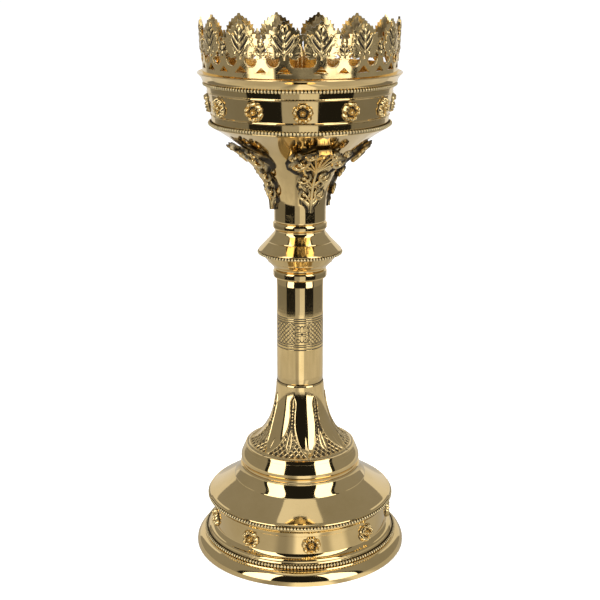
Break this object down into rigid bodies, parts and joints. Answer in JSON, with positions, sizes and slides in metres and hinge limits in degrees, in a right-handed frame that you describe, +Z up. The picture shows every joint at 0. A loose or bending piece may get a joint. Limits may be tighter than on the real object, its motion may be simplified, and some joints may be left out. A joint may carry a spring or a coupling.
{
  "type": "altar candlestick",
  "caption": "Tall polished brass altar candlestick: round stepped base, bell, engraved stem, knop, flared bowl, beaded gallery with rosettes, pierced leaf crown, wax pan and pricket.",
  "frame": {"origin": "centre of the foot's underside, on the surface that it stands on", "axes": "+Z up along the candlestick's axis, -Y towards the front, +X to the right"},
  "size_m": [0.1606, 0.1606, 0.4],
  "materials": {
    "spun_brass": "spun, polished and lacquered",
    "engraved_brass": "polished, with engraved and chased lines darkened in the cuts",
    "beaded_brass": "polished beads with dark patina between them",
    "cast_brass": "cast, polished on the high points, dark patina in the recesses",
    "rivet_brass": "peened, unpolished",
    "pan_brass": "polished, warm toned",
    "steel": "zinc plated"
  },
  "bodies": {
    "stand": {"base_skirt": "spun_brass", "base_dome": "spun_brass", "base_lower_bead_ring": "beaded_brass", "base_upper_bead_ring": "beaded_brass", "base_rosette_rivets": "rivet_brass", "base_rosette_1": "cast_brass", "base_rosette_2": "cast_brass", "base_rosette_3": "cast_brass", "base_rosette_4": "cast_brass", "base_rosette_5": "cast_brass", "base_rosette_6": "cast_brass", "base_rosette_7": "cast_brass", "base_rosette_8": "cast_brass", "base_rosette_9": "cast_brass", "bell": "engraved_brass", "stem_tube": "engraved_brass", "lower_collar": "spun_brass", "knop_lower": "spun_brass", "knop_bead_ring": "beaded_brass", "knop_upper": "spun_brass", "upper_collar": "spun_brass", "bowl": "spun_brass", "bracket_rivets": "rivet_brass", "acanthus_bracket_1": "cast_brass", "acanthus_bracket_2": "cast_brass", "acanthus_bracket_3": "cast_brass", "acanthus_bracket_4": "cast_brass", "gallery_band": "spun_brass", "gallery_lower_bead_ring": "beaded_brass", "gallery_upper_bead_ring": "beaded_brass", "gallery_lip": "spun_brass", "gallery_rosette_rivets": "rivet_brass", "gallery_rosette_1": "cast_brass", "gallery_rosette_2": "cast_brass", "gallery_rosette_3": "cast_brass", "gallery_rosette_4": "cast_brass", "gallery_rosette_5": "cast_brass", "gallery_rosette_6": "cast_brass", "gallery_rosette_7": "cast_brass", "gallery_rosette_8": "cast_brass", "gallery_rosette_9": "cast_brass", "gallery_rosette_10": "cast_brass", "gallery_rosette_11": "cast_brass", "gallery_rosette_12": "cast_brass", "crown": "cast_brass", "tie_rod": "steel", "rod_washers": "steel", "rod_nuts": "steel"},
    "pan": {"wax_pan": "pan_brass", "pricket": "pan_brass", "pricket_washer": "steel", "pricket_nut": "steel"}
  },
  "joints": [
    {"name": "pan_lift", "type": "slide", "parent": "stand", "child": "pan", "axis": [0, 0, 1], "range_m": [0, 0.1]}
  ]
}
